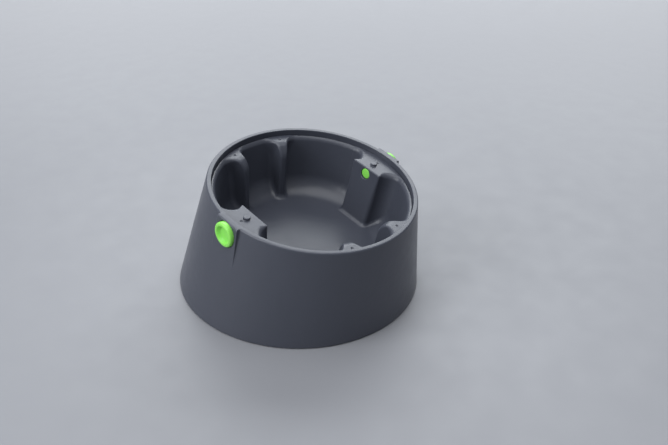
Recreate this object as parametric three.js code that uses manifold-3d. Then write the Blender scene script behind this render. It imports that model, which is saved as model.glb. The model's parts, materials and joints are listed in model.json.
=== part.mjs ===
// Tilted pet feeder bowl with two press-to-release buttons.
// Millimetres, +Z up. The origin is the centre of the footprint, on the surface that the feet stand on.
// -Y is the low side of the rim and +Y the high side. The two buttons face -X (left) and +X (right).
import * as THREE from "three";
import { mergeVertices } from "three/addons/utils/BufferGeometryUtils.js";
import Module from "manifold-3d";

const wasm = await Module();
wasm.setup();
const { degToRad, lerp } = THREE.MathUtils;

// ---------------------------------------------------------------- driving dimensions
const FIT = 0.3; // clearance between pieces that touch or slide

// Outer form: a flat base circle and a smaller, tilted rim circle, joined by straight lines
const BASE_R = 95.5;
const RIM_R = 78.9;
const RIM_Y = -15.7; // the rim's centre, moved towards the low side
const RIM_Z = 88;
const TILT = degToRad(8.8);
const SKIRT_LIFT = 0.8; // lower edge of the skirt above the table
const WALL = 2.8;

// Lip, and the shoulder under the liner's flange, as depths below the rim plane
const LIP_R = 75.4;
const LEDGE_DROP = 4.5;
const FLANGE_T = 2.5;
const SHOULDER_R = 74;
const SHOULDER_T = 2.5;

// Bowl
const FLANGE_R = LIP_R - FIT;
const BOWL_R = 72.5; // where the wall meets the ledge
const BOWL_DEPTH = 52;
const DRAFT = Math.tan(degToRad(8));
const BOWL_FILLET = 14;
const LINER_WALL = 1.6;

// Four ribs: a pair beside the high point and a pair beside the low point
const RIB_ANGLE = degToRad(18.7); // from the Y axis
const RIB_T = 5.7;
const RIB_TIP_R = 57.5;
const RIB_NOSE_R = 8;
const RIB_DRAFT = Math.tan(degToRad(5));

// Two blocks, one at each button, with hollow sides that are tangent to the bowl wall
const BLOCK_FACE = 55.7;
const BLOCK_SCOOPS = {
  rear: { r: 9, angle: degToRad(20) },
  front: { r: 10, angle: degToRad(-24.2) },
};
const BLOCK_SKIN = 2.4;
const PEG_R = 2.5;
const PEG_H = 1.8;
const PEG_AT = 63.3;
const DIMPLE_R = 0.75;
const DIMPLE_DEPTH = 0.6;
const RIB_DIMPLE_AT = 70.3;
const BLOCK_DIMPLE_AT = 67.9;

// Flat pads on the outer wall
const PAD_FACE = 80.6; // at the rim plane
const PAD_SLOPE = degToRad(5.5);
const PAD_HALF = 10.9;
const PAD_SPREAD = 0.06; // half width gained per millimetre down
const PAD_H = 40;
const PAD_T = 8;

// Buttons: the axis runs along X, and places along it are measured from the middle of the bowl
const BUTTON_DROP = 10.1; // axis below the rim plane
const BUTTON_SHIFT = -1.5; // axis, pads, pegs and dimples off the middle, towards the low side
const TRAVEL = 3;
const CAP_R = 9.3;
const CAP_FACE = 83.8;
const CAP_EDGE = 1.8; // rounding of the cap's rim
const CAP_SKIRT = 1.3;
const CAP_DISH = 1.8;
const CAP_DISH_R = 6.4;
const CAP_DISH_FLOOR_R = 4;
const CAP_SKIN = 1.2;
const CAP_LEAN_FROM = 81.8; // the cap leans with the pad outside this
const HUB_R = 3.7;
const RECESS_FLOOR = 75.9;
const RECESS_WALL = 1.5;
const STEM_R = 2.2;
const STEM_FROM = 57;
const STEM_TO = 80.5;
const TIP_R = 4.1;
const TIP_FACE = 55.5;
const TIP_BACK = 59.6;
const TIP_CROWN = 0.3;
const SLEEVE_R = 5.7;
const SLEEVE_END = 66;
const GLAND_R = 4.1;
const GLAND_FROM = 62;
const GLAND_TO = 64.2;
const WIRE_R = 0.35;
const SPRING_WIDE = 7.3;
const SPRING_NARROW = 4.8;
const SPRING_TURNS = 3.25;

// Underside
const PLATE_Z = 1.6;
const PLATE_T = 2.6;
const PLATE_R = BASE_R - WALL - 1.6;
const PANEL_R = 38; // sunk middle of the plate
const PANEL_SINK = 0.7;
const HOOP_R = 30; // stiffening hoop on the plate's upper side
const HOOP_H = 4;
const GASKET_T = 1.2;
const GASKET_W = 2.6;
const SHELF_T = 2;
const SCREW_X = 40;
const SCREW_YS = { front: -46, rear: 27 };
const SCREW_HEAD_R = 3.4;
const SCREW_HEAD_H = 1.8;
const SCREW_SHANK_R = 1.5;
const SCREW_LENGTH = 12;
const SCREW_BOSS_R = 6;
const SCREW_BOSS_H = 2.2;
const POST_R = 4.6;
const POST_HOLE = 15;
const FOOT_AT = 54;
const FOOT_R = 6.7;
const FOOT_INSET = 1;

// Facets round a large circle, a small one, and a wire
const ROUND = 72;
const SMALL = 24;
const TINY = 12;

const FINISHES = {
  grey: { color: 0x4a4b57, roughness: 0.5, metalness: 0 },
  dark: { color: 0x33343c, roughness: 0.6, metalness: 0 },
  green: { color: 0x7fe04f, roughness: 0.42, metalness: 0 },
  rubber: { color: 0x1d1d1f, roughness: 0.85, metalness: 0 },
  steel: { color: 0xb9bcc2, roughness: 0.3, metalness: 1 },
};

// ---------------------------------------------------------------- solids
// A three.js geometry as a solid that can be joined and cut
function solid(geometry) {
  const faces = geometry.index ? geometry.toNonIndexed() : geometry;
  const bare = new THREE.BufferGeometry().setAttribute("position", faces.getAttribute("position"));
  const merged = mergeVertices(bare, 1e-4);
  return new wasm.Manifold(
    new wasm.Mesh({
      numProp: 3,
      vertProperties: merged.attributes.position.array,
      triVerts: new Uint32Array(merged.index.array),
    }),
  );
}

function geometryOf(manifold) {
  const { vertProperties, triVerts } = manifold.getMesh();
  const geometry = new THREE.BufferGeometry();
  geometry.setAttribute("position", new THREE.BufferAttribute(vertProperties, 3));
  geometry.setIndex(new THREE.BufferAttribute(triVerts, 1));
  const faces = geometry.toNonIndexed();
  faces.computeVertexNormals();
  return faces;
}

// A profile of [radius, height] points turned about Z
function turned(points, facets = SMALL) {
  const profile = points.map(([r, z]) => new THREE.Vector2(r, z));
  return new THREE.LatheGeometry(profile, facets).rotateX(Math.PI / 2);
}

const rod = (r, low, high, facets = SMALL) =>
  turned([[0, low], [r, low], [r, high], [0, high]], facets);

const ring = (inner, outer, low, high, facets = ROUND) =>
  turned([[inner, low], [outer, low], [outer, high], [inner, high], [inner, low]], facets);

// Turns a geometry made about Z so that it lies along X
const alongX = (geometry) => geometry.rotateY(Math.PI / 2);

// The rim frame has its origin at the rim's centre and its Z square to the rim plane.
const RIM_FRAME = new THREE.Matrix4().makeRotationX(TILT).setPosition(0, RIM_Y, RIM_Z);
const FROM_RIM = RIM_FRAME.clone().invert();
const fromRim = (geometry) => solid(geometry.applyMatrix4(RIM_FRAME));
const toRim = (geometry) => solid(geometry.applyMatrix4(FROM_RIM));

// Everything deeper than a depth below the rim plane, in the rim frame
const below = (depth) => rod(BASE_R * 2, -BASE_R * 3, -depth, 4);

// A solid, joined with its mirror image on the other side of the bowl
const bothSides = (manifold) => manifold.add(manifold.mirror([1, 0, 0]));

// A rod on the button axis, in the rim frame
const onButtonAxis = (r, from, to, facets = SMALL) =>
  alongX(rod(r, from, to, facets)).translate(0, BUTTON_SHIFT, -BUTTON_DROP);

// ---------------------------------------------------------------- outer shell
// The outer form, moved in by an inset. Its sections lean from the base plane to the rim plane, and the two
// levels are fractions of the way up.
function skewedForm(inset, low, high) {
  const radius = (level) => lerp(BASE_R, RIM_R, level) - inset;
  const geometry = turned([[0, low], [radius(low), low], [radius(high), high], [0, high]], ROUND);
  const place = geometry.attributes.position;
  for (let i = 0; i < place.count; i++) {
    const level = place.getZ(i);
    const across = place.getY(i);
    const y = across * lerp(1, Math.cos(TILT), level) + RIM_Y * level;
    const z = lerp(SKIRT_LIFT, RIM_Z, level) + across * Math.sin(TILT) * level;
    place.setXYZ(i, place.getX(i), y, z);
  }
  return solid(geometry);
}

// A flat face that looks along +X and leans out towards its foot
function pad() {
  const low = PAD_HALF + PAD_SPREAD * PAD_H;
  const face = new THREE.Shape();
  face.moveTo(PAD_HALF, 1);
  face.lineTo(-PAD_HALF, 1);
  face.lineTo(-low, -PAD_H);
  face.lineTo(low, -PAD_H);
  const slab = new THREE.ExtrudeGeometry(face, { depth: PAD_T, bevelEnabled: false });
  slab.translate(0, 0, -PAD_T).rotateX(Math.PI / 2).rotateZ(Math.PI / 2);
  return slab.rotateY(-PAD_SLOPE).translate(PAD_FACE, BUTTON_SHIFT, 0);
}

function outerShell() {
  const pads = bothSides(fromRim(pad()));
  const outer = skewedForm(0, 0, 1.05).add(pads).intersect(fromRim(below(0)));

  const seatDepth = LEDGE_DROP + FLANGE_T + FIT;
  const hollowDepth = seatDepth + SHOULDER_T;
  const hollow = skewedForm(WALL, -0.05, 1).intersect(fromRim(below(hollowDepth)));
  const throat = fromRim(rod(SHOULDER_R, -hollowDepth - WALL, BASE_R, ROUND));
  const seat = fromRim(rod(LIP_R, -seatDepth, BASE_R, ROUND));

  const boss = fromRim(onButtonAxis(CAP_R + WALL, RECESS_FLOOR - RECESS_WALL, RECESS_FLOOR + PAD_T / 2));
  const shelfZ = PLATE_Z + PLATE_T + FIT + GASKET_T + FIT;
  const shelfR = PLATE_R - GASKET_W - 1;
  const shelf = solid(ring(shelfR, BASE_R - WALL / 2, shelfZ, shelfZ + SHELF_T));
  const inside = bothSides(boss).add(shelf).intersect(outer);

  const recess = fromRim(onButtonAxis(CAP_R + FIT, RECESS_FLOOR, CAP_FACE + 5, ROUND / 2));
  const bore = fromRim(onButtonAxis(STEM_R + FIT, SHOULDER_R - 5, RECESS_FLOOR + 1));
  const cuts = bothSides(recess.add(bore));
  return outer.subtract(hollow).subtract(throat).add(inside).subtract(seat).subtract(cuts);
}

// ---------------------------------------------------------------- bowl liner, in the rim frame
// The bowl's form as a solid of revolution: floor, fillet and drafted wall, moved out by an offset
function bowlForm(offset, top) {
  const floor = -BOWL_DEPTH - offset;
  const fillet = BOWL_FILLET + offset;
  const wallR = (z) => BOWL_R + offset + (z + LEDGE_DROP) * DRAFT;
  const footR = wallR(floor + fillet) - fillet;
  const profile = [[0, floor]];
  const steps = 6;
  for (let i = 0; i <= steps; i++) {
    const turn = (i / steps) * (Math.PI / 2);
    profile.push([footR + fillet * Math.sin(turn), floor + fillet * (1 - Math.cos(turn))]);
  }
  profile.push([wallR(top), top], [0, top]);
  return solid(turned(profile, ROUND));
}

// A rib with a rounded nose, standing in from the wall at an angle about Z
function rib(angle) {
  const top = -LEDGE_DROP;
  const shoulder = RIB_TIP_R + RIB_NOSE_R;
  const foot = -BOWL_DEPTH - 1;
  const side = new THREE.Shape();
  side.moveTo(BOWL_R + 1, foot);
  side.lineTo(BOWL_R + 1, 2);
  side.lineTo(shoulder, 2);
  side.lineTo(shoulder, top);
  side.absarc(shoulder, top - RIB_NOSE_R, RIB_NOSE_R, Math.PI / 2, Math.PI, false);
  side.lineTo(RIB_TIP_R - BOWL_DEPTH * RIB_DRAFT, foot);
  const plate = new THREE.ExtrudeGeometry(side, { depth: RIB_T, bevelEnabled: false, curveSegments: 4 });
  return plate.translate(0, 0, -RIB_T / 2).rotateX(Math.PI / 2).rotateZ(angle);
}

// A block with a straight face and two scooped sides, which follows the wall's draft down. The inset moves
// its sides in, for the hollow behind its skin.
function block(inset, top, bottom) {
  const scoop = ({ r, angle }) => {
    const [x, y] = [(BOWL_R - r) * Math.cos(angle), (BOWL_R - r) * Math.sin(angle)];
    const corner = Math.acos((BLOCK_FACE + inset - x) / (r + inset)); // of the face, from the +X direction
    return { x, y, r: r + inset, corner };
  };
  const rear = scoop(BLOCK_SCOOPS.rear);
  const front = scoop(BLOCK_SCOOPS.front);
  const outerX = BOWL_R + 3;
  const plan = new THREE.Shape();
  plan.moveTo(outerX, front.y);
  plan.lineTo(outerX, rear.y);
  plan.absarc(rear.x, rear.y, rear.r, 0, -rear.corner, true);
  plan.absarc(front.x, front.y, front.r, front.corner, 0, true);
  const prism = new THREE.ExtrudeGeometry(plan, {
    depth: top - bottom,
    bevelEnabled: false,
    curveSegments: TINY / 2,
  });
  const lean = new THREE.Matrix4().makeShear(0, 0, 0, 0, DRAFT, 0);
  return prism.translate(0, 0, bottom + LEDGE_DROP).applyMatrix4(lean).translate(0, 0, -LEDGE_DROP);
}

function bowlLiner() {
  const top = -LEDGE_DROP;
  const under = -BOWL_DEPTH - LINER_WALL;

  let room = bowlForm(0, 1);
  for (const start of [Math.PI / 2, -Math.PI / 2])
    for (const side of [-1, 1]) room = room.subtract(solid(rib(start + side * RIB_ANGLE)));
  room = room.subtract(bothSides(solid(block(0, 3, -BOWL_DEPTH - 1))));

  const pocket = solid(block(BLOCK_SKIN, top - BLOCK_SKIN, under - 5));
  const sleeve = solid(onButtonAxis(SLEEVE_R, BLOCK_FACE + 1, SLEEVE_END));
  const peg = solid(rod(PEG_R, top - 1, top + PEG_H).translate(PEG_AT, BUTTON_SHIFT, 0));

  const postFoot = PLATE_Z + PLATE_T + SCREW_BOSS_H + FIT;
  let liner = bowlForm(LINER_WALL, top - 1).add(solid(rod(FLANGE_R, top - FLANGE_T, top, ROUND)));
  for (const y of Object.values(SCREW_YS)) {
    const post = rod(POST_R, postFoot, RIM_Z / 2).translate(SCREW_X, y, 0);
    liner = liner.add(bothSides(toRim(post)));
  }
  liner = liner.subtract(bothSides(pocket)).add(bothSides(sleeve)).subtract(room);
  for (const y of Object.values(SCREW_YS)) {
    const hole = rod(SCREW_SHANK_R + FIT, postFoot - 1, postFoot + POST_HOLE, TINY);
    liner = liner.subtract(bothSides(toRim(hole.translate(SCREW_X, y, 0))));
  }

  const counterbore = solid(onButtonAxis(TIP_R + FIT, BLOCK_FACE - 5, TIP_BACK + FIT));
  const bore = solid(onButtonAxis(STEM_R + FIT, TIP_BACK, SLEEVE_END + 1));
  const gland = solid(onButtonAxis(GLAND_R, GLAND_FROM, GLAND_TO));
  const cuts = bothSides(counterbore.add(bore).add(gland));

  const dimple = (at, shift, angle) =>
    solid(rod(DIMPLE_R, top - DIMPLE_DEPTH, top + 1, TINY).translate(at, shift, 0).rotateZ(angle));
  let dimples = bothSides(dimple(BLOCK_DIMPLE_AT, BUTTON_SHIFT, 0));
  for (const start of [Math.PI / 2, -Math.PI / 2])
    for (const side of [-1, 1]) dimples = dimples.add(dimple(RIB_DIMPLE_AT, 0, start + side * RIB_ANGLE));
  return liner.add(bothSides(peg)).subtract(cuts).subtract(dimples);
}

// ---------------------------------------------------------------- button, on its own axis along +X
// The cap's face and rim lean with the pad, and its skirt and hub stay square to the axis.
function capGeometry() {
  const underside = CAP_FACE - CAP_DISH - CAP_SKIN;
  const skirtEnd = RECESS_FLOOR + TRAVEL + FIT;
  const profile = [[0, CAP_FACE - CAP_DISH], [CAP_DISH_FLOOR_R, CAP_FACE - CAP_DISH]];
  const slope = [CAP_DISH_FLOOR_R + (CAP_DISH_R - CAP_DISH_FLOOR_R) / 2, CAP_FACE - CAP_DISH * 0.6];
  profile.push(slope, [CAP_DISH_R, CAP_FACE]);
  const steps = 5;
  for (let i = 0; i <= steps; i++) {
    const turn = (i / steps) * (Math.PI / 2);
    profile.push([CAP_R - CAP_EDGE * (1 - Math.sin(turn)), CAP_FACE - CAP_EDGE * (1 - Math.cos(turn))]);
  }
  profile.push([CAP_R, skirtEnd], [CAP_R - CAP_SKIRT, skirtEnd], [CAP_R - CAP_SKIRT, underside]);
  profile.push([HUB_R, underside], [HUB_R, skirtEnd], [STEM_R + FIT, skirtEnd]);
  profile.push([STEM_R + FIT, STEM_TO + FIT], [0, STEM_TO + FIT]);
  const cap = alongX(turned(profile.reverse(), ROUND / 2));
  const place = cap.attributes.position;
  for (let i = 0; i < place.count; i++)
    if (place.getX(i) > CAP_LEAN_FROM) place.setX(i, place.getX(i) - Math.tan(PAD_SLOPE) * place.getZ(i));
  return cap;
}

function tipGeometry() {
  const hole = STEM_R + FIT;
  const profile = [[0, TIP_FACE - TIP_CROWN], [TIP_R * 0.6, TIP_FACE - TIP_CROWN * 0.7]];
  profile.push([TIP_R - 0.4, TIP_FACE], [TIP_R, TIP_FACE + 0.4], [TIP_R, TIP_BACK]);
  profile.push([hole, TIP_BACK], [hole, STEM_FROM - FIT], [0, STEM_FROM - FIT]);
  return alongX(turned(profile));
}

class ConeCoil extends THREE.Curve {
  getPoint(t, target = new THREE.Vector3()) {
    const underside = CAP_FACE - CAP_DISH - CAP_SKIN;
    const x = lerp(RECESS_FLOOR + WIRE_R + FIT / 2, underside - WIRE_R - FIT / 2, t);
    const r = lerp(SPRING_WIDE, SPRING_NARROW, t);
    const turn = t * SPRING_TURNS * 2 * Math.PI;
    return target.set(x, r * Math.cos(turn), r * Math.sin(turn));
  }
}

function springGeometry() {
  const wire = new THREE.Shape().absarc(0, 0, WIRE_R, 0, 2 * Math.PI, false);
  return new THREE.ExtrudeGeometry(wire, {
    steps: Math.round(SPRING_TURNS * TINY),
    curveSegments: 4,
    extrudePath: new ConeCoil(),
  });
}

function sealGeometry() {
  const inner = STEM_R + FIT;
  const outer = GLAND_R - FIT;
  const half = (GLAND_TO - GLAND_FROM) / 2 - FIT;
  const profile = [];
  for (let i = 0; i <= 8; i++) {
    const turn = (i / 8) * 2 * Math.PI;
    const r = (inner + outer) / 2 + ((outer - inner) / 2) * Math.cos(turn);
    profile.push([r, (GLAND_FROM + GLAND_TO) / 2 + half * Math.sin(turn)]);
  }
  return alongX(turned(profile));
}

// ---------------------------------------------------------------- underside
function basePlate() {
  const top = PLATE_Z + PLATE_T;
  let plate = solid(rod(PLATE_R, PLATE_Z, top, ROUND));
  plate = plate.add(solid(ring(HOOP_R - 2, HOOP_R, top - 1, top + HOOP_H, ROUND / 2)));
  plate = plate.subtract(solid(rod(PANEL_R, PLATE_Z - 1, PLATE_Z + PANEL_SINK, ROUND)));
  for (const x of [-SCREW_X, SCREW_X])
    for (const y of Object.values(SCREW_YS)) {
      const boss = rod(SCREW_BOSS_R, top - 1, top + SCREW_BOSS_H).translate(x, y, 0);
      const headRoom = PLATE_Z + FIT + SCREW_HEAD_H + FIT;
      const pocket = rod(SCREW_HEAD_R + FIT, PLATE_Z - 1, headRoom).translate(x, y, 0);
      const hole = rod(SCREW_SHANK_R + FIT, PLATE_Z, top + SCREW_BOSS_H + 1, TINY).translate(x, y, 0);
      plate = plate.add(solid(boss)).subtract(solid(pocket)).subtract(solid(hole));
    }
  for (const x of [-FOOT_AT, FOOT_AT])
    for (const y of [-FOOT_AT, FOOT_AT]) {
      const seat = rod(FOOT_R + FIT, PLATE_Z - 1, PLATE_Z + FOOT_INSET).translate(x, y, 0);
      plate = plate.subtract(solid(seat));
    }
  return plate;
}

function gasketGeometry() {
  const low = PLATE_Z + PLATE_T + FIT;
  return ring(PLATE_R - GASKET_W, PLATE_R - 2 * FIT, low, low + GASKET_T);
}

function footGeometry() {
  const top = PLATE_Z + FOOT_INSET - FIT;
  return turned([[0, 0], [FOOT_R - 0.6, 0], [FOOT_R, 0.6], [FOOT_R, top], [0, top]]);
}

// Pan head with a hexagon socket, head down
function screwGeometry() {
  const head = PLATE_Z + FIT;
  const crown = turned([[0, head], [SCREW_HEAD_R - 0.5, head], [SCREW_HEAD_R, head + 0.5],
    [SCREW_HEAD_R, head + SCREW_HEAD_H], [0, head + SCREW_HEAD_H]]);
  const shank = rod(SCREW_SHANK_R, head + 1, head + SCREW_HEAD_H + SCREW_LENGTH, TINY);
  const socket = rod(1.3, head - 1, head + 1, 6);
  return geometryOf(solid(crown).subtract(solid(socket)).add(solid(shank)));
}

// ---------------------------------------------------------------- assembly
function piece(name, geometry, finish) {
  const mesh = new THREE.Mesh(geometry, new THREE.MeshStandardMaterial(FINISHES[finish]));
  mesh.name = name;
  return mesh;
}

const feeder = new THREE.Group();
feeder.add(piece("outer_shell", geometryOf(outerShell()), "grey"));

// what is square to the rim plane: the liner and the two button sets
const rimGroup = new THREE.Group();
rimGroup.position.set(0, RIM_Y, RIM_Z);
rimGroup.rotation.x = TILT;
rimGroup.add(piece("bowl_liner", geometryOf(bowlLiner()), "grey"));
for (const side of ["left", "right"]) {
  const button = new THREE.Group();
  button.position.set(0, BUTTON_SHIFT, -BUTTON_DROP);
  button.rotation.z = side === "left" ? Math.PI : 0;
  button.add(piece(`button_cap_${side}`, capGeometry(), "green"));
  button.add(piece(`pin_stem_${side}`, alongX(rod(STEM_R, STEM_FROM, STEM_TO)), "green"));
  button.add(piece(`pin_tip_${side}`, tipGeometry(), "green"));
  button.add(piece(`return_spring_${side}`, springGeometry(), "steel"));
  button.add(piece(`stem_seal_${side}`, sealGeometry(), "rubber"));
  rimGroup.add(button);
}
feeder.add(rimGroup);

// what stands square to the table
feeder.add(piece("base_plate", geometryOf(basePlate()), "dark"));
feeder.add(piece("base_gasket", gasketGeometry(), "rubber"));
for (const [end, screwY] of Object.entries(SCREW_YS))
  for (const [side, sign] of [["left", -1], ["right", 1]]) {
    const foot = piece(`foot_${end}_${side}`, footGeometry(), "rubber");
    foot.position.set(sign * FOOT_AT, end === "front" ? -FOOT_AT : FOOT_AT, 0);
    const screw = piece(`base_screw_${end}_${side}`, screwGeometry(), "steel");
    screw.position.set(sign * SCREW_X, screwY, 0);
    feeder.add(foot, screw);
  }

export default feeder;
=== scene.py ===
# Tilted pet feeder bowl with two press-to-release buttons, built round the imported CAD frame.
# Shapes are worked out in millimetres and become metres when a mesh is made.
import json
import math

import bmesh
import bpy
import numpy as np
from mathutils import Matrix, Vector


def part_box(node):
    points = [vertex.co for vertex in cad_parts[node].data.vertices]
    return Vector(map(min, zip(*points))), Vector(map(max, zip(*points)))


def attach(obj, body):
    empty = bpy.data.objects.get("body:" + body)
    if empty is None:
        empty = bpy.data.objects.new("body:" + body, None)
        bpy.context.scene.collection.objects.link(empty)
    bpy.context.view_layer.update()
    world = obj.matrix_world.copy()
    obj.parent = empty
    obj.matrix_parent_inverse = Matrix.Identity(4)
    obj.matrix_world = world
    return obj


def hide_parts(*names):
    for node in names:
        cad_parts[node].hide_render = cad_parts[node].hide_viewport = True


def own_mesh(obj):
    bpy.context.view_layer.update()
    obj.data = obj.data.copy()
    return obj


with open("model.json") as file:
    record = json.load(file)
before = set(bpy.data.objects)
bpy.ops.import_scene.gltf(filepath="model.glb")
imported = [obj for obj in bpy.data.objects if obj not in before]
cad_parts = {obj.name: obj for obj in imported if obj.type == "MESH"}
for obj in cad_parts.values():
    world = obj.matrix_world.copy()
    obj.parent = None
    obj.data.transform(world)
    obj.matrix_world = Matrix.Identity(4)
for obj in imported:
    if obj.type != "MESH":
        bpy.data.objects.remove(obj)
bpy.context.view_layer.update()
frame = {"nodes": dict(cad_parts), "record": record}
nodes = frame["nodes"]

MM = 0.001
SIDES = {"left": -1, "right": 1}

# ---------------------------------------------------------------- sizes, in mm
# They are the CAD's, with a rib's taper, the fillets, the rounding and the cap's dish made finer here.
# Rim frame: origin at the rim's centre, u along +X, v up the slope of the rim, h square to the rim plane
seat = next(m for m in frame["record"]["mounts"] if m["name"] == "ledge_seat")
TILT = math.atan2(-seat["axis"][1], seat["axis"][2])
COS_T, SIN_T = math.cos(TILT), math.sin(TILT)
RIM_Y, RIM_Z = -15.7, 88
LEDGE = 4.5  # the ledge's depth below the rim plane

BASE_R = 95.5
RIM_R = 78.9
SKIRT_LIFT = 0.8
WALL = 2.8
LIP_R = 75.4
SHOULDER_R = 74
SEAT_DEPTH = 7.3
SHOULDER_T = 2.5
SHELF_R, SHELF_Z, SHELF_T = 87.5, 6.0, 2.0

FLANGE_R = 75.1
FLANGE_T = 2.5
BOWL_R = 72.5
BOWL_DEPTH = 52
DRAFT = math.radians(8)
BOWL_FILLET = 14
LINER_WALL = 1.6

RIB_ANGLE = math.radians(18.7)  # from the v axis
RIB_T = 5.7
RIB_TIP_R = 57.5
RIB_NOSE_R = 8
RIB_NOSE_TURN = math.radians(70)  # from the upright tip towards the ledge
RIB_DRAFT = math.radians(5)
RIB_TAPER = math.radians(13)  # of each side, in plan
RIB_FLARE, RIB_BLEND, RIB_FLARE_DEPTH = 9, 4, 14  # fillet at the ledge, and from a depth on
RIB_EDGE_R = 1.7

BLOCK_FACE = 55.7
SCOOPS = ((1, 9, math.radians(20)), (-1, 10, math.radians(24.2)))  # sign of v, radius, angle of each
BLOCK_SKIN = 2.4
BLOCK_EDGE, BLOCK_EDGE_LOW, BLOCK_EDGE_DEPTH = 1.2, 3.0, 20  # rounding at the ledge, and from a depth on
BLOCK_FILLET, BLOCK_FILLET_LOW, BLOCK_FILLET_DEPTHS = 0.8, 3.0, (33, 43)  # above and below two depths
# Rounding of the ledge's inner edge along the wall, on a rib and round a block's face
SOFT_EDGE, RIB_EDGE, CRISP_EDGE = 3.6, 1.8, 0.8
NEAR_FACE_V, NEAR_FACE_U, NEAR_RIB = (30, 22), (61, 56.5), (10, 5)  # where one changes into the next
PEG_R, PEG_H, PEG_AT = 2.5, 1.8, 63.3
DIMPLE_R = 1.0
RIB_DIMPLE_AT, BLOCK_DIMPLE_AT = 70.3, 67.9

PAD_FACE = 80.6
PAD_SLOPE = math.tan(math.radians(5.5))
PAD_HALF = 10.9
PAD_SPREAD = 0.06

# The buttons' axis in the rim frame. Pads, pegs and the blocks' dimples share its v
AXIS_V, AXIS_H = -1.5, -10.1
CAP_R, CAP_FACE, CAP_END = 9.3, 84.15, 79.2
CAP_DISH, CAP_DISH_R, CAP_SKIN = 2.5, 6.7, 1.0
RECESS_FLOOR = 75.9
STEM_R, STEM_TO = 2.2, 80.5
TIP_R, TIP_FACE, TIP_BACK = 4.1, 55.3, 59.6
STEM_FROM = 57
SLEEVE_R, SLEEVE_END = 5.7, 66
GLAND_R, GLAND_FROM, GLAND_TO = 4.1, 62, 64.2
WIRE_R, SPRING_WIDE, SPRING_NARROW, SPRING_TURNS = 0.35, 7.3, 4.8, 3.25
FIT = 0.3

SCREW_X, SCREW_YS = 40, (-46, 27)
POST_R, POST_FOOT, POST_HOLE, SCREW_HOLE_R = 4.6, 6.7, 15, 1.8


def to_world(p):
    """Rim frame to row frame, both in mm."""
    u, v, h = p[..., 0], p[..., 1], p[..., 2]
    return np.stack([u, RIM_Y + v * COS_T - h * SIN_T, RIM_Z + v * SIN_T + h * COS_T], -1)


def to_rim(p):
    y, z = p[..., 1] - RIM_Y, p[..., 2] - RIM_Z
    return np.stack([p[..., 0], y * COS_T + z * SIN_T, z * COS_T - y * SIN_T], -1)


# ---------------------------------------------------------------- meshes
def make(name, points, faces, normals=None):
    """A smooth object from points in mm in the row frame. faces is an array or a list of index lists."""
    mesh = bpy.data.meshes.new(name)
    faces = faces.tolist() if isinstance(faces, np.ndarray) else faces
    mesh.from_pydata((np.asarray(points) * MM).tolist(), [], faces)
    mesh.polygons.foreach_set("use_smooth", [True] * len(mesh.polygons))
    if normals is not None:
        mesh.normals_split_custom_set_from_vertices(normals.tolist())
    mesh.update()
    obj = bpy.data.objects.new(name, mesh)
    bpy.context.scene.collection.objects.link(obj)
    return obj


def outward(obj):
    """Turns every face outwards."""
    form = bmesh.new()
    form.from_mesh(obj.data)
    bmesh.ops.recalc_face_normals(form, faces=form.faces)
    form.to_mesh(obj.data)
    form.free()


def store_bend(obj):
    """Keeps each vertex's bend in 1/mm as the attribute 'bend', which the materials read for edge wear, a
    painted highlight on convex edges and painted shade in hollows.
    """
    mesh = obj.data
    n = len(mesh.vertices)
    points, normals = np.zeros(n * 3), np.zeros(n * 3)
    ends = np.zeros(len(mesh.edges) * 2, int)
    mesh.vertices.foreach_get("co", points)
    mesh.vertices.foreach_get("normal", normals)
    mesh.edges.foreach_get("vertices", ends)
    points, normals, ends = points.reshape(-1, 3) / MM, normals.reshape(-1, 3), ends.reshape(-1, 2)
    step = points[ends[:, 1]] - points[ends[:, 0]]
    size = np.maximum((step**2).sum(1), 0.04)
    bend = ((normals[ends[:, 1]] - normals[ends[:, 0]]) * step).sum(1) / size
    count = np.maximum(np.bincount(ends.ravel(), None, n), 1)
    bend = np.bincount(ends.ravel(), np.repeat(bend, 2), n) / count
    for _ in range(2):
        near = np.bincount(ends[:, 0], bend[ends[:, 1]], n) + np.bincount(ends[:, 1], bend[ends[:, 0]], n)
        bend = 0.5 * bend + 0.5 * near / count
    attribute = mesh.attributes.new("bend", "FLOAT", "POINT")
    attribute.data.foreach_set("value", np.clip(bend, -1, 1).astype(np.float32))


def lathe(name, profile, place, segments=96, sharp=30):
    """A profile of (radius, x) points turned about the X axis, then placed by a function of points.
    It starts and ends on the axis, or closes on itself as a ring."""
    turn = np.linspace(0, 2 * math.pi, segments, endpoint=False)
    points, rings = [], []
    for r, x in profile:
        rings.append((len(points), r < 1e-6))
        points += [(x, 0, 0)] if r < 1e-6 else [(x, r * math.cos(a), r * math.sin(a)) for a in turn]
    pairs = list(zip(rings, rings[1:]))
    if not rings[0][1]:
        pairs.append((rings[-1], rings[0]))
    faces = []
    for (a, a_point), (b, b_point) in pairs:
        for i in range(segments):
            j = (i + 1) % segments
            if a_point:
                faces.append((a, b + j, b + i))
            elif b_point:
                faces.append((a + i, a + j, b))
            else:
                faces.append((a + i, a + j, b + j, b + i))
    obj = make(name, place(np.array(points, float)), faces)
    outward(obj)
    obj.data.set_sharp_from_angle(angle=math.radians(sharp))
    return obj


def arc(centre, radius, start, end, steps=5):
    """Points (r, x) on an arc, with angles in degrees from +r towards +x."""
    angles = np.radians(np.linspace(start, end, steps + 1))
    return [(centre[0] + radius * math.cos(a), centre[1] + radius * math.sin(a)) for a in angles]


def on_axis(side):
    """Places a piece made about the X axis on the button axis of one side."""
    def place(p):
        return to_world(np.stack([p[:, 0] * side, AXIS_V + p[:, 1] * side, AXIS_H + p[:, 2]], -1))
    return place


# ---------------------------------------------------------------- bowl liner, as a distance field
def ramp(value, start, end):
    """0 at the start, 1 at the end, straight in between and level outside."""
    return np.clip((value - start) / (end - start), 0, 1)


def between(a, b, share):
    return a + (b - a) * share


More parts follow.
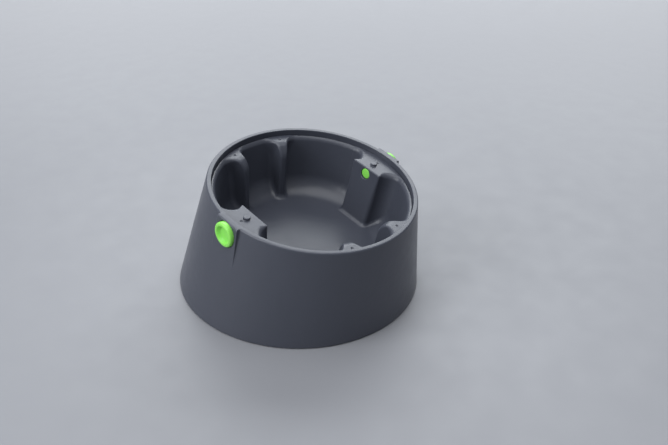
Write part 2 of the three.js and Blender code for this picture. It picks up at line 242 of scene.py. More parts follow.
def both(a, b, r):
    """What lies in a and in b, with its outside edge rounded. Distances are below 0 inside."""
    return np.minimum(-r, np.maximum(a, b)) + np.hypot(np.maximum(a + r, 0), np.maximum(b + r, 0))


def either(a, b, r):
    """What lies in a or in b, with its inside corner filled."""
    return -both(-a, -b, r)


def bowl(u, v, h, out=0.0):
    """The bowl's form: drafted wall, fillet and floor, moved out by a distance."""
    wall = (np.hypot(u, v) - BOWL_R - out - (h + LEDGE) * math.tan(DRAFT)) * math.cos(DRAFT)
    return both(wall, -BOWL_DEPTH - out - h, BOWL_FILLET + out)


def rib(u, v, h, angle):
    along = u * math.cos(angle) + v * math.sin(angle)
    across = v * math.cos(angle) - u * math.sin(angle)
    shoulder_h = -LEDGE - RIB_NOSE_R
    tip = (RIB_TIP_R - along + (h - shoulder_h) * math.tan(RIB_DRAFT)) * math.cos(RIB_DRAFT)
    # a plane that slopes up to the ledge, so that nose and top run into each other
    cos_n, sin_n = math.cos(RIB_NOSE_TURN), math.sin(RIB_NOSE_TURN)
    nose_r, nose_h = RIB_TIP_R + RIB_NOSE_R * (1 - cos_n), shoulder_h + RIB_NOSE_R * sin_n
    nose = (nose_r - along) * cos_n + (h - nose_h) * sin_n
    half = RIB_T / 2 + np.maximum(along - RIB_TIP_R, 0) * math.tan(RIB_TAPER)
    return both((np.abs(across) - half) * math.cos(RIB_TAPER), both(tip, nose, RIB_NOSE_R), RIB_EDGE_R)


def block(u, v, h, inset, edge):
    """A block's plan, which leans with the wall's draft. The inset moves its sides in."""
    side = np.abs(u) - (h + LEDGE) * math.tan(DRAFT)
    plan = BLOCK_FACE + inset - side
    limit = -BOWL_R
    for sign, r, angle in SCOOPS:
        scoop_u, scoop_v = (BOWL_R - r) * math.cos(angle), sign * (BOWL_R - r) * math.sin(angle)
        plan = both(plan, r + inset - np.hypot(side - scoop_u, v - scoop_v), edge)
        limit = np.maximum(limit, sign * v * math.cos(angle) - side * math.sin(angle))
    return np.maximum(plan, limit)


def tube(u, v, h, radius, start, end):
    """A rod on the button axis, on both sides."""
    ends = np.maximum(start - np.abs(u), np.abs(u) - end)
    return np.maximum(np.hypot(v - AXIS_V, h - AXIS_H) - radius, ends)


def liner(u, v, h):
    """Distance to the liner's surface in the rim frame."""
    top = h + LEDGE
    y, z = RIM_Y + v * COS_T - h * SIN_T, RIM_Z + v * SIN_T + h * COS_T
    # the inside: wall, floor, ribs and blocks, cut off level with the ledge
    inside = -bowl(u, v, h)
    flare = ramp(-top, RIB_FLARE_DEPTH, 0)
    blend = between(RIB_BLEND, RIB_FLARE, flare * flare * (3 - 2 * flare))
    for middle in (math.pi / 2, -math.pi / 2):
        for turn in (-1, 1):
            inside = either(inside, rib(u, v, h, middle + turn * RIB_ANGLE), blend)
    block_edge = between(BLOCK_EDGE, BLOCK_EDGE_LOW, ramp(-top, 0, BLOCK_EDGE_DEPTH))
    block_fillet = between(BLOCK_FILLET, BLOCK_FILLET_LOW, ramp(-top, *BLOCK_FILLET_DEPTHS))
    inside = either(inside, block(u, v, h, 0, block_edge), block_fillet)
    # the outside: wall, flange and screw posts, with a pocket behind each block
    flange = both(np.hypot(u, v) - FLANGE_R, -LEDGE - FLANGE_T - h, 0.4)
    outside = either(both(bowl(u, v, h, LINER_WALL), top + 1, 0.1), flange, 0.8)
    for at in SCREW_YS:
        reach = np.hypot(np.abs(u) - SCREW_X, y - at)
        post = both(both(reach - POST_R, POST_FOOT - z, 0.4), h + BOWL_DEPTH, 0.1)
        outside = either(outside, post, 1.5)
    pocket = both(block(u, v, h, BLOCK_SKIN, 0.6), top + BLOCK_SKIN, 0.6)
    outside = both(outside, -pocket, 0.3)
    outside = np.minimum(outside, tube(u, v, h, SLEEVE_R, BLOCK_FACE + 1, SLEEVE_END))
    # the ledge's edge and the peg on each block
    off_rib = np.abs(np.abs(u) * math.cos(RIB_ANGLE) - np.abs(v) * math.sin(RIB_ANGLE))
    near_face = ramp(np.abs(v), *NEAR_FACE_V) * ramp(np.abs(u), *NEAR_FACE_U)
    edge = between(between(SOFT_EDGE, RIB_EDGE, ramp(off_rib, *NEAR_RIB)), CRISP_EDGE, near_face)
    form = both(both(inside, top, edge), outside, 0.3)
    peg = both(np.hypot(np.abs(u) - PEG_AT, v - AXIS_V) - PEG_R, top - PEG_H, 0.5)
    form = either(form, np.maximum(peg, -top - 1), 0.25)
    # bores, screw holes and dimples
    form = both(form, -tube(u, v, h, TIP_R + FIT, BLOCK_FACE - 5, TIP_BACK + FIT), 0.15)
    form = np.maximum(form, -tube(u, v, h, STEM_R + FIT, TIP_BACK, SLEEVE_END + 1))
    form = np.maximum(form, -tube(u, v, h, GLAND_R, GLAND_FROM, GLAND_TO))
    for at in SCREW_YS:
        reach = np.hypot(np.abs(u) - SCREW_X, y - at)
        form = np.maximum(form, -np.maximum(reach - SCREW_HOLE_R, z - POST_FOOT - POST_HOLE))
    dimple_h = top - 0.25
    reach = np.sqrt((np.abs(u) - BLOCK_DIMPLE_AT) ** 2 + (v - AXIS_V) ** 2 + dimple_h**2)
    form = both(form, DIMPLE_R - reach, 0.15)
    du, dv = RIB_DIMPLE_AT * math.sin(RIB_ANGLE), RIB_DIMPLE_AT * math.cos(RIB_ANGLE)
    reach = np.sqrt((np.abs(u) - du) ** 2 + (np.abs(v) - dv) ** 2 + dimple_h**2)
    return both(form, DIMPLE_R - reach, 0.15)


def spaced(*spans):
    """Grid lines from spans of (end, spacing), the first being the start alone."""
    lines = [spans[0]]
    for end, spacing in spans[1:]:
        count = max(1, round((end - lines[-1]) / spacing))
        lines += list(np.linspace(lines[-1], end, count + 1)[1:])
    return np.array(lines)


def patch_table():
    """The surface patch that each edge of a grid cell belongs to, for every set of corners that is inside.
    Bit k of a corner's number is its place along axis k. Edges go by axis, then by first corner."""
    edges = [(a, a | 1 << axis) for axis in range(3) for a in range(8) if not a >> axis & 1]
    table = np.zeros((256, 12), int)
    for inside in range(256):
        patch = list(range(12))
        for axis in range(3):
            for side in (0, 1):
                cut = [n for n, (a, b) in enumerate(edges)
                       if a >> axis & 1 == b >> axis & 1 == side and inside >> a & 1 != inside >> b & 1]
                # two cut edges of a face join, and of four, those at the same inside corner
                for m in cut:
                    for n in cut:
                        shared = set(edges[m]) & set(edges[n])
                        if len(cut) == 2 or any(inside >> c & 1 for c in shared):
                            patch = [patch[m] if p == patch[n] else p for p in patch]
        table[inside] = patch
    return {edge: n for n, edge in enumerate(edges)}, table


def surface_net(field, axes):
    """The field's zero surface on a grid with uneven spacing: a point for each patch of it in a cell,
    moved onto the surface, and a four-sided face round each crossed grid edge, with the normals."""
    value = field(*[g.astype(np.float32) for g in np.meshgrid(*axes, indexing="ij")])
    below = value < 0
    cells = tuple(len(a) - 1 for a in axes)
    edge_number, patch_of = patch_table()
    inside = np.zeros(cells, int)
    for corner in range(8):
        place = [corner >> k & 1 for k in range(3)]
        inside |= below[tuple(slice(o, o + c) for o, c in zip(place, cells))].astype(int) << corner
    quads, middles = [], []
    for axis in range(3):
        first = [slice(None)] * 3
        second = [slice(None)] * 3
        first[axis], second[axis] = slice(0, -1), slice(1, None)
        first, second = tuple(first), tuple(second)
        at = np.argwhere(below[first] != below[second])
        a, b = value[first][tuple(at.T)], value[second][tuple(at.T)]
        points = np.stack([axes[k][at[:, k]] for k in range(3)], -1)
        points[:, axis] += (a / (a - b)) * (axes[axis][at[:, axis] + 1] - axes[axis][at[:, axis]])
        p, q = [k for k in range(3) if k != axis]
        corners = []
        for dp, dq in ((1, 1), (0, 1), (0, 0), (1, 0)):
            cell = at.copy()
            cell[:, p] -= dp
            cell[:, q] -= dq
            start = dp << p | dq << q
            edge = edge_number[start, start | 1 << axis]
            flat = np.ravel_multi_index(cell.T, cells)
            corners.append(flat * 12 + patch_of[inside.reshape(-1)[flat], edge])
        quad = np.stack(corners, -1)
        flip = (a < 0) == (axis == 1)
        quad[flip] = quad[flip][:, ::-1]
        quads.append(quad)
        middles.append(points)
    used, index = np.unique(np.concatenate(quads), return_inverse=True)
    faces = index.reshape(-1, 4)
    middles = np.repeat(np.concatenate(middles), 4, axis=0)
    points = np.stack([np.bincount(faces.ravel(), middles[:, k], len(used)) for k in range(3)], -1)
    points /= np.bincount(faces.ravel(), None, len(used))[:, None]

    def slope(p, reach=0.03):
        parts = []
        for k in range(3):
            step = np.zeros(3)
            step[k] = reach
            parts.append((field(*(p + step).T) - field(*(p - step).T)) / (2 * reach))
        return np.stack(parts, -1)

    for _ in range(3):
        gradient = slope(points)
        move = field(*points.T) / np.maximum((gradient**2).sum(1), 0.3)
        points = points - np.clip(move, -0.4, 0.4)[:, None] * gradient
    normals = slope(points, 0.12)
    normals /= np.maximum(np.linalg.norm(normals, axis=1), 1e-9)[:, None]
    return points, faces, normals


def build_liner():
    # the cells are finer than the wall is thick, so that its two faces stay apart
    half_u = spaced(0, (12, 1.5), (30, 0.75), (47, 0.95), (75.8, 0.7))
    half_v = spaced(0, (9, 0.6), (28, 0.75), (48, 0.95), (75.8, 0.7))
    u = np.concatenate([-half_u[:0:-1], half_u])
    v = np.concatenate([-half_v[:0:-1], half_v])
    h = spaced(-89.5, (-56, 3.4), (-50, 1.2), (-38, 0.85), (-16, 2.2), (-8, 0.65), (-3.4, 0.42),
               (-1.9, 0.5))
    points, faces, normals = surface_net(liner, (u, v, h))
    world_normals = to_world(points + normals) - to_world(points)
    return make("bowl_liner_moulding", to_world(points), faces, world_normals)


# ---------------------------------------------------------------- outer shell, as a loft
def skirt(angle, level, inset=0.0):
    """A point of the outer form in the rim frame: level 0 is the base circle and 1 the rim circle."""
    r = BASE_R + (RIM_R - BASE_R) * level - inset
    across = r * np.sin(angle)
    y = across * (1 + (COS_T - 1) * level) + RIM_Y * level
    z = SKIRT_LIFT + (RIM_Z - SKIRT_LIFT) * level + across * SIN_T * level
    return to_rim(np.stack([r * np.cos(angle), y, z], -1))


# Columns from the middle of a pad to its edge and down its side face, as (part of the half width, shift in
# v, what is missing from the pad's height, the most that is left)
PAD_COLUMNS = [(f, 0, 0, 9) for f in (0, 0.12, 0.24, 0.36, 0.48, 0.6, 0.7, 0.79, 0.87, 0.93)]
PAD_COLUMNS += [(1, -0.5, 0, 9), (1, -0.15, 0.13, 9), (1, 0, 0.5, 9), (1, 0.02, 0.5, 0.4),
                (1, 0.12, 0.5, 0.12), (1, 0.5, 0, 0)]
FREE_COLUMNS = 130  # between one pad and the other, on each half


def column_table():
    """Every pad column in order round the shell: side, sign of v, and its entry in PAD_COLUMNS."""
    rows = []
    for side in (1, -1):
        before = [(side, -side, *c) for c in PAD_COLUMNS[:0:-1]]
        rows += before + [(side, side, *c) for c in PAD_COLUMNS]
    return np.array(rows, float)


COLUMNS = column_table()


def skirt_row(level):
    """One row of the outer surface in the rim frame, with the pads standing out from it."""
    side, sign, part, shift, missing, most = COLUMNS.T
    middle = np.where(side > 0, 0, math.pi)
    angle = middle + 0.1 * side * sign * np.maximum(part, 0.01)
    for _ in range(10):
        p = skirt(angle, level)
        half = PAD_HALF + PAD_SPREAD * np.maximum(0, -p[:, 2])
        angle = angle + (AXIS_V + sign * (part * half + shift) - p[:, 1]) / (RIM_R * np.cos(angle))
    gap = PAD_FACE - PAD_SLOPE * p[:, 2] - np.abs(p[:, 0])
    height = np.maximum((gap + np.sqrt(gap * gap + 0.02)) / 2 - 0.003, 0)
    p[:, 0] += side * np.minimum(np.maximum(height - missing, 0), most)
    count = len(side) // 2
    share = np.arange(1, FREE_COLUMNS) / FREE_COLUMNS
    front = skirt(angle[count - 1] + (angle[count] - angle[count - 1]) * share, level)
    back = skirt(angle[-1] + (angle[0] + 2 * math.pi - angle[-1]) * share, level)
    return np.concatenate([p[:count], front, p[count:], back])


def inner_row(angle, level):
    return skirt(angle, level, WALL)


def at_depth(angle, depth):
    """The inner wall where it reaches a depth below the rim plane."""
    low, high = np.zeros(len(angle)), np.ones(len(angle))
    for _ in range(30):
        level = (low + high) / 2
        deep = inner_row(angle, level)[:, 2] < -depth
        low, high = np.where(deep, level, low), np.where(deep, high, level)
    return inner_row(angle, level)


def rounded(corner, one, other, radius, steps=6):
    """Rows that round a corner between two directions, from the first to the second."""
    one = one / np.linalg.norm(one, axis=1)[:, None]
    other = other / np.linalg.norm(other, axis=1)[:, None]
    half = np.arccos(np.clip((one * other).sum(1), -1, 1)) / 2
    reach = (radius / np.tan(half))[:, None]
    weight = np.sin(half)[:, None]
    start, end = corner + one * reach, corner + other * reach
    rows = []
    for t in np.linspace(0, 1, steps + 1):
        a, b, c = (1 - t) ** 2, 2 * t * (1 - t) * weight, t**2
        rows.append((a * start + b * corner + c * end) / (a + b + c))
    return rows


def build_shell():
    top = skirt_row(1.0)
    angle = np.arctan2(top[:, 1], top[:, 0])
    ray = np.stack([np.cos(angle), np.sin(angle), np.zeros(len(angle))], -1)

    def ring(r, h):
        return ray * r + np.array([0, 0, h])

    rows = [ring(SHOULDER_R, -SEAT_DEPTH), ring(LIP_R, -SEAT_DEPTH), ring(LIP_R, -SEAT_DEPTH + 0.3)]
    rows += [ring(LIP_R, -h) for h in (5.5, 3.6, 1.8)]
    rows += rounded(ring(LIP_R, 0), ring(0, -1), ray, 0.5)
    rows.append((ring(LIP_R + 0.8, 0) + top - ray) / 2)
    rows += rounded(top, -ray, skirt_row(0.97) - top, 1.2, 7)
    levels = 1 - np.concatenate([np.arange(1.9, 26, 0.95), np.arange(27, 84, 2.4)]) / 88.5
    rows += [skirt_row(level) for level in levels]
    foot = skirt_row(0.0)
    inside = inner_row(angle, 0.0)
    rows += rounded(foot, skirt_row(0.03) - foot, inside - foot, 0.5, 4)
    rows += rounded(inside, foot - inside, inner_row(angle, 0.03) - inside, 0.5, 3)
    shelf = []
    for z in (SHELF_Z, SHELF_Z + SHELF_T):
        level = (z - SKIRT_LIFT) / (RIM_Z - SKIRT_LIFT)
        wall = inner_row(angle, level)
        lip = np.stack([np.cos(angle) * SHELF_R, np.sin(angle) * SHELF_R, np.full(len(angle), z)], -1)
        shelf.append((wall, to_rim(lip)))
    rows += [shelf[0][0], shelf[0][1], shelf[1][1], shelf[1][0]]
    rows += [inner_row(angle, level) for level in np.linspace(0.2, 0.8, 7)]
    depth = SEAT_DEPTH + SHOULDER_T
    rows += [at_depth(angle, depth), ring(SHOULDER_R, -depth)]
    points = np.concatenate(rows)
    n, count = len(angle), len(rows)
    i = np.arange(n)
    faces = []
    for k in range(count):
        near, far = k * n, (k + 1) % count * n
        faces.append(np.stack([near + i, near + (i + 1) % n, far + (i + 1) % n, far + i], -1))
    shell = make("outer_shell_moulding", to_world(points), np.concatenate(faces))
    outward(shell)

    def work(tool, operation):
        change = shell.modifiers.new(operation.lower(), "BOOLEAN")
        change.object, change.operation, change.solver = tool, operation, "EXACT"
        with bpy.context.temp_override(object=shell, active_object=shell, selected_objects=[shell]):
            bpy.ops.object.modifier_apply(modifier=change.name)
        bpy.data.objects.remove(tool)

    for side in SIDES.values():
        work(boss(side), "UNION")
        work(recess(side), "DIFFERENCE")
    shell.data.set_sharp_from_angle(angle=math.radians(38))
    return shell


def boss(side):
    """The thick ring of plastic round a recess, inside the wall, cut off under the lip."""
    angles = np.linspace(0, 2 * math.pi, 72, endpoint=False)
    v = AXIS_V + (CAP_R + WALL) * np.cos(angles)
    h = np.minimum(AXIS_H + (CAP_R + WALL) * np.sin(angles), -1.4)
    near, far = RECESS_FLOOR - 1.5 + 0.02, PAD_FACE - 1.7
    points = np.concatenate([np.stack([np.full(72, x * side), v, h], -1) for x in (near, far)])
    faces = [[i, (i + 1) % 72, 72 + (i + 1) % 72, 72 + i] for i in range(72)]
    faces += [list(range(71, -1, -1)), list(range(72, 144))]
    obj = make("boss", to_world(points), faces)
    outward(obj)
    return obj


def recess(side):
    """The tool that cuts a button's recess and stem bore. Its mouth is flared and leans with the pad."""
    mouth = PAD_FACE - PAD_SLOPE * AXIS_H
    r, flare = CAP_R + FIT, 0.45
    bore = STEM_R + FIT
    profile = [(0, SHOULDER_R - 5), (bore, SHOULDER_R - 5), (bore, RECESS_FLOOR)]
    profile += arc((r - 0.5, RECESS_FLOOR + 0.5), 0.5, -90, 0, 3)
    profile += arc((r + flare, mouth - flare), flare, 180, 90, 5)
    profile += [(r + flare + 0.3, mouth + 4), (0, mouth + 4)]
    return lathe("recess", profile, leaning(on_axis(side), RECESS_FLOOR + 2), 120)


# ---------------------------------------------------------------- buttons
def leaning(place, start):
    """Places a piece whose points outside a level lean with the pad."""
    def lean(p):
        p[:, 0] -= np.where(p[:, 0] > start, PAD_SLOPE * p[:, 2], 0)
        return place(p)
    return lean


def build_button(name, side):
    place = on_axis(side)
    edge, lip, floor = 1.5, 0.6, CAP_FACE - CAP_DISH
    underside = floor - CAP_SKIN
    # a nearly flat dish with a steep side, whose edge rolls over onto a narrow crown
    profile = [(0, floor), (1.8, floor + 0.02), (3.6, floor + 0.08)]
    profile += arc((4.1, floor + 1.65), 1.55, -84, -24, 6)
    profile += arc((CAP_DISH_R + 0.35, CAP_FACE - lip), lip, 152, 90, 6)
    profile += arc((CAP_R - edge, CAP_FACE - edge), edge, 90, 0, 10)
    profile += arc((CAP_R - 0.25, CAP_END + 0.25), 0.25, 0, -90, 3)
    profile += [(CAP_R - 1.3, CAP_END), (CAP_R - 1.3, underside), (3.7, underside), (3.7, CAP_END)]
    profile += [(STEM_R + FIT, CAP_END), (STEM_R + FIT, STEM_TO + FIT), (0, STEM_TO + FIT)]
    cap = lathe(f"button_cap_{name}_moulding", profile, place, 128)
    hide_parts(f"button_cap_{name}")

    hole = STEM_R + FIT
    profile = [(0, TIP_FACE), (TIP_R * 0.35, TIP_FACE + 0.02), (TIP_R * 0.6, TIP_FACE + 0.07)]
    profile += [(TIP_R - 0.75, TIP_FACE + 0.14)]
    profile += arc((TIP_R - 0.55, TIP_FACE + 0.72), 0.55, -80, 0, 5)
    profile += [(TIP_R, TIP_BACK), (hole, TIP_BACK), (hole, STEM_FROM - FIT), (0, STEM_FROM - FIT)]
    tip = lathe(f"pin_tip_{name}_moulding", profile, place, 72)
    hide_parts(f"pin_tip_{name}")
    for obj in (cap, tip):
        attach(obj, f"button_{name}")
    return cap, tip


def build_spring(name, side):
    """A conical coil, closed flat at both ends."""
    steps, around = 200, 10
    t = np.linspace(0, 1, steps + 1)
    low, high = RECESS_FLOOR + WIRE_R + 0.1, CAP_FACE - CAP_DISH - CAP_SKIN - WIRE_R - 0.1
    x = low + (high - low) * t
    r = SPRING_WIDE + (SPRING_NARROW - SPRING_WIDE) * t
    turn = 2 * math.pi * SPRING_TURNS * t
    middle = np.stack([x, r * np.cos(turn), r * np.sin(turn)], -1)
    along = np.gradient(middle, axis=0)
    along /= np.linalg.norm(along, axis=1)[:, None]
    across = np.stack([np.zeros_like(t), np.cos(turn), np.sin(turn)], -1)
    across -= (across * along).sum(1)[:, None] * along
    across /= np.linalg.norm(across, axis=1)[:, None]
    third = np.cross(along, across)
    wire = np.linspace(0, 2 * math.pi, around, endpoint=False)
    points = (middle[:, None] + WIRE_R * (np.cos(wire)[None, :, None] * across[:, None]
              + np.sin(wire)[None, :, None] * third[:, None])).reshape(-1, 3)
    faces = [[k * around + i, k * around + (i + 1) % around, (k + 1) * around + (i + 1) % around,
              (k + 1) * around + i] for k in range(steps) for i in range(around)]
    faces += [list(range(around)), list(range(steps * around, (steps + 1) * around))]
    spring = make(f"return_spring_{name}_wire", on_axis(side)(points), faces)
    outward(spring)
    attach(spring, "bowl_base")
    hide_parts(f"return_spring_{name}")
    anchor = on_axis(side)(np.array([[RECESS_FLOOR, 0.0, 0.0]]))[0] * MM
    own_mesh(spring)
    return spring


def build_foot(name):
    """A rubber foot with a rounded tread and a shallow sunk ring."""
    low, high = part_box(name)
    x, y = (low.x + high.x) / 2 / MM, (low.y + high.y) / 2 / MM
    r, top = (high.x - low.x) / 2 / MM, high.z / MM
    profile = [(0, 0.35), (2.2, 0.35), (2.6, 0.02), (3.2, 0), (r - 0.7, 0)]
    profile += arc((r - 0.6, 0.6), 0.6, -90, 0, 5)
    profile += [(r, top), (0, top)]
    foot = lathe(f"{name}_pad", profile, lambda p: np.stack([x + p[:, 1], y + p[:, 2], p[:, 0]], -1), 64)
    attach(foot, "bowl_base")
    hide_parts(name)
    return foot


# ---------------------------------------------------------------- materials
def shader(name, color, roughness, **fixed):
    """A Principled material, and a helper that adds a node with its values and links."""
    material = bpy.data.materials.new(name)
    material.use_nodes = True
    tree = material.node_tree
    surface = tree.nodes["Principled BSDF"]
    surface.inputs["Base Color"].default_value = (*color, 1)
    surface.inputs["Roughness"].default_value = roughness
    for key, value in fixed.items():
        surface.inputs[key.replace("_", " ")].default_value = value

    def node(kind, values=None, **settings):
        made = tree.nodes.new(kind)
        for key, value in settings.items():
            setattr(made, key, value)
        for key, value in (values or {}).items():
            if isinstance(value, bpy.types.NodeSocket):
                tree.links.new(value, made.inputs[key])
            else:
                made.inputs[key].default_value = value
        return made

    def join(source, target):
        tree.links.new(source, surface.inputs[target])

    return material, node, join


def noise(node, place, scale, detail=3, rough=0.55):
    values = {"Vector": place, "Scale": scale, "Detail": detail, "Roughness": rough}
    return node("ShaderNodeTexNoise", values).outputs["Fac"]


def remap(node, value, low, high, to_low, to_high):
    values = {"Value": value, "From Min": low, "From Max": high, "To Min": to_low, "To Max": to_high}
    return node("ShaderNodeMapRange", values).outputs["Result"]


def relief(node, join, *layers):
    """Bump from layers of (depth in metres, height), each on top of the one before."""
    normal = None
    for depth, height in layers:
        values = {"Strength": 1.0, "Distance": depth, "Height": height}
        if normal:
            values["Normal"] = normal
        normal = node("ShaderNodeBump", values).outputs[0]
    join(normal, "Normal")


def maths(node, operation, a, b):
    made = node("ShaderNodeMath", {0: a, 1: b}, operation=operation)
    return made.outputs[0]


def tint(color, share):
    return tuple(min(1, c * share) for c in color)


def blend_colors(node, share, a, b):
    a = a if isinstance(a, bpy.types.NodeSocket) else (*a, 1)
    b = b if isinstance(b, bpy.types.NodeSocket) else (*b, 1)
    made = node("ShaderNodeMix", {0: share, 6: a, 7: b}, data_type="RGBA")
    return made.outputs[2]


def plastic(name, color, roughness, grain, grain_scale, wear_and_painted_light=0.0, **fixed):
    """Moulded plastic: slow drifts of tone and gloss, a fine spark-eroded grain, edges that handling has
    polished and lightened, partly with a painted highlight, and hollows darkened with painted shade."""
    material, node, join = shader(name, color, roughness, **fixed)
    place = node("ShaderNodeTexCoord").outputs["Object"]
    drift = noise(node, place, 14, 2)
    speckle = noise(node, place, 1500, 2)
    tone = blend_colors(node, remap(node, drift, 0.3, 0.7, 0, 1), tint(color, 0.95), tint(color, 1.05))
    tone = blend_colors(node, remap(node, speckle, 0.35, 0.65, 0, 0.5), tone, tint(color, 1.12))
    gloss = remap(node, noise(node, place, 55, 4, 0.6), 0.3, 0.7, roughness - 0.035, roughness + 0.045)
    if wear_and_painted_light:
        bend = node("ShaderNodeAttribute", attribute_name="bend").outputs["Fac"]
        patch = remap(node, noise(node, place, 160, 5, 0.65), 0.42, 0.62, 0.25, 1)
        # lighter convex edges: wear and polish from handling, with a painted highlight along the roundings
        edge = maths(node, "MULTIPLY", remap(node, bend, 0.12, 0.75, 0, 1), patch)
        # darker concave hollows: painted shade
        painted_hollow_shade = remap(node, bend, -0.4, -0.08, 1, 0)
        tone = blend_colors(node, maths(node, "MULTIPLY", edge, wear_and_painted_light), tone, tint(color, 1.9))
        tone = blend_colors(node, maths(node, "MULTIPLY", painted_hollow_shade, 0.25), tone, tint(color, 0.7))
        gloss = maths(node, "SUBTRACT", gloss, maths(node, "MULTIPLY", edge, 0.09))
    join(tone, "Base Color")
    join(gloss, "Roughness")
    swell = noise(node, place, 75, 2)
    relief(node, join, (0.00022, swell), (grain, noise(node, place, grain_scale, 3, 0.6)))
    return material


def rubber():
    color = (0.017, 0.017, 0.018)
    material, node, join = shader("rubber_matt", color, 0.8)
    place = node("ShaderNodeTexCoord").outputs["Object"]
    dust = noise(node, place, 220, 5, 0.7)
    tone = blend_colors(node, remap(node, dust, 0.5, 0.75, 0, 0.5), color, (0.06, 0.058, 0.055))
    join(tone, "Base Color")
    join(remap(node, dust, 0.3, 0.7, 0.72, 0.88), "Roughness")
    relief(node, join, (0.00006, noise(node, place, 2600, 3)))
    return material


def steel(name, color, roughness, stretch):
    """Drawn or plated steel, with fine lines where it was stretched."""
    material, node, join = shader(name, color, roughness, Metallic=1.0)
    place = node("ShaderNodeTexCoord").outputs["Object"]
    drawn = node("ShaderNodeMapping", {"Vector": place, "Scale": stretch}).outputs[0]
    lines = noise(node, drawn, 900, 4, 0.6)
    stain = remap(node, noise(node, place, 120, 3), 0.35, 0.7, 0, 1)
    join(blend_colors(node, stain, tint(color, 0.85), color), "Base Color")
    join(remap(node, lines, 0.3, 0.7, roughness - 0.08, roughness + 0.1), "Roughness")
    relief(node, join, (0.00003, lines))
    return material


def dress(obj, material):
    obj.data.materials.clear()
    obj.data.materials.append(material)


GREY = (0.06, 0.0655, 0.085)
GREEN = (0.27, 0.78, 0.11)
grey = plastic("grey_satin_plastic", GREY, 0.34, 0.00003, 1900, 0.35)
green = plastic("green_plastic", GREEN, 0.38, 0.00002, 1900, 0.12)
dark = plastic("dark_grained_plastic", (0.04, 0.042, 0.052), 0.55, 0.00006, 1300)
rubber_matt = rubber()
wire = steel("spring_wire", (0.62, 0.62, 0.64), 0.28, (1, 6, 6))
zinc = steel("zinc_plate", (0.56, 0.57, 0.6), 0.3, (1, 1, 8))

# ---------------------------------------------------------------- the object
liner_piece = build_liner()
shell_piece = build_shell()
for piece, node_name in ((liner_piece, "bowl_liner"), (shell_piece, "outer_shell")):
    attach(piece, "bowl_base")
    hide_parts(node_name)
    store_bend(piece)
    dress(piece, grey)
for name, side in SIDES.items():
    for piece in build_button(name, side):
        store_bend(piece)
        dress(piece, green)
    dress(build_spring(name, side), wire)
for name in [n for n in nodes if n.startswith("foot_")]:
    dress(build_foot(name), rubber_matt)

KEPT = {"base_plate": dark, "base_gasket": rubber_matt}
KEPT.update({f"stem_seal_{s}": rubber_matt for s in SIDES})
KEPT.update({f"pin_stem_{s}": green for s in SIDES})
KEPT.update({n: zinc for n in nodes if n.startswith("base_screw_")})
for name, material in KEPT.items():
    obj = nodes[name]
    dress(obj, material)
    weld = obj.modifiers.new("weld", "WELD")
    weld.merge_threshold = 0.001 * MM
    soften = obj.modifiers.new("soften", "BEVEL")
    soften.width, soften.segments = 0.2 * MM, 2
    soften.limit_method, soften.angle_limit = "ANGLE", math.radians(40)
    soften.harden_normals = True
    obj.data.polygons.foreach_set("use_smooth", [True] * len(obj.data.polygons))

# ---------------------------------------------------------------- floor, light and camera
SENSOR, LENS = 36, 41.79
CAMERA_AT = (-341.1, -389.3, 366.4)  # mm
PITCH, AZIMUTH, ROLL = math.radians(31.61), math.radians(-44.22), math.radians(1.98)  # pitch is downwards
CENTRE = (0, 0, 0.06)
FLOOR_NEAR, FLOOR_FAR = (0.27, 0.275, 0.295), (0.5, 0.5, 0.515)


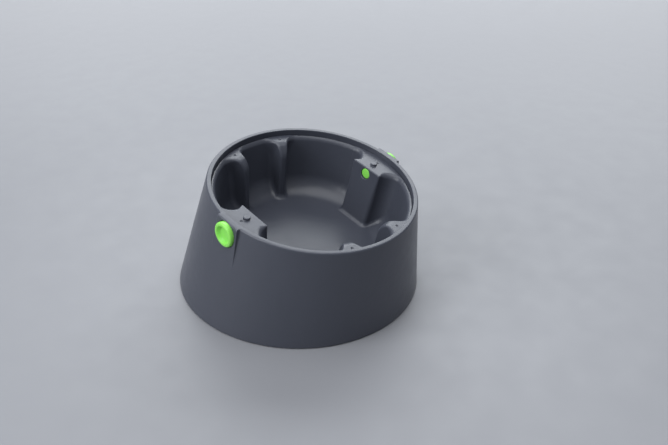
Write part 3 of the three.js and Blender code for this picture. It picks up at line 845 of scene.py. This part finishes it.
def build_floor():
    turn = np.linspace(0, 2 * math.pi, 96, endpoint=False)
    points = [(0, 0, 0)]
    for r in (300, 900, 2400, 7000):
        points += [(r * math.cos(a), r * math.sin(a), 0) for a in turn]
    faces = [[0, 1 + i, 1 + (i + 1) % 96] for i in range(96)]
    for k in range(3):
        a, b = 1 + k * 96, 1 + (k + 1) * 96
        faces += [[a + i, b + i, b + (i + 1) % 96, a + (i + 1) % 96] for i in range(96)]
    floor = make("floor", np.array(points, float), faces)
    material, node, join = shader("floor_laminate", FLOOR_NEAR, 0.5)
    place = node("ShaderNodeTexCoord").outputs["Object"]
    tone = blend_colors(node, noise(node, place, 3, 2), tint(FLOOR_NEAR, 0.97), tint(FLOOR_NEAR, 1.03))
    reach = node("ShaderNodeVectorMath", {0: place}, operation="LENGTH").outputs["Value"]
    tone = blend_colors(node, remap(node, reach, 0.3, 1.6, 0, 1), tone, FLOOR_FAR)
    join(tone, "Base Color")
    join(remap(node, noise(node, place, 40, 4), 0.3, 0.7, 0.46, 0.56), "Roughness")
    dress(floor, material)


def area_light(name, place, width, height, power, color):
    data = bpy.data.lights.new(name, "AREA")
    data.shape, data.size, data.size_y = "RECTANGLE", width, height
    data.energy, data.color = power, color
    obj = bpy.data.objects.new(name, data)
    bpy.context.scene.collection.objects.link(obj)
    obj.location = place
    obj.rotation_euler = (Vector(CENTRE) - Vector(place)).to_track_quat("-Z", "Y").to_euler()


def build_camera():
    data = bpy.data.cameras.new("camera")
    data.sensor_width, data.lens = SENSOR, LENS
    data.sensor_fit = "HORIZONTAL"
    camera = bpy.data.objects.new("camera", data)
    bpy.context.scene.collection.objects.link(camera)
    ahead = Vector((-math.sin(AZIMUTH), math.cos(AZIMUTH), 0))
    level = Vector((math.cos(AZIMUTH), math.sin(AZIMUTH), 0))
    back = Vector((0, 0, math.sin(PITCH))) - ahead * math.cos(PITCH)
    right = level * math.cos(ROLL) + back.cross(level) * math.sin(ROLL)
    turn = Matrix((right, back.cross(right), back)).transposed().to_4x4()
    camera.matrix_world = Matrix.Translation(Vector(CAMERA_AT) * MM) @ turn
    bpy.context.scene.camera = camera


build_floor()
build_camera()
area_light("window", (1.05, 0.95, 1.2), 2.1, 1.1, 28, (0.93, 0.97, 1.0))
area_light("left_window", (-1.55, 0.4, 0.95), 1.3, 1.1, 19, (0.95, 0.97, 1.0))
area_light("ceiling", (-0.35, -0.1, 2.0), 2.0, 2.0, 27, (0.96, 0.98, 1.0))
world = bpy.data.worlds.new("room")
world.use_nodes = True
world.node_tree.nodes["Background"].inputs["Color"].default_value = (0.85, 0.88, 0.95, 1)
world.node_tree.nodes["Background"].inputs["Strength"].default_value = 0.31
bpy.context.scene.world = world
bpy.context.scene.view_settings.view_transform = "Standard"
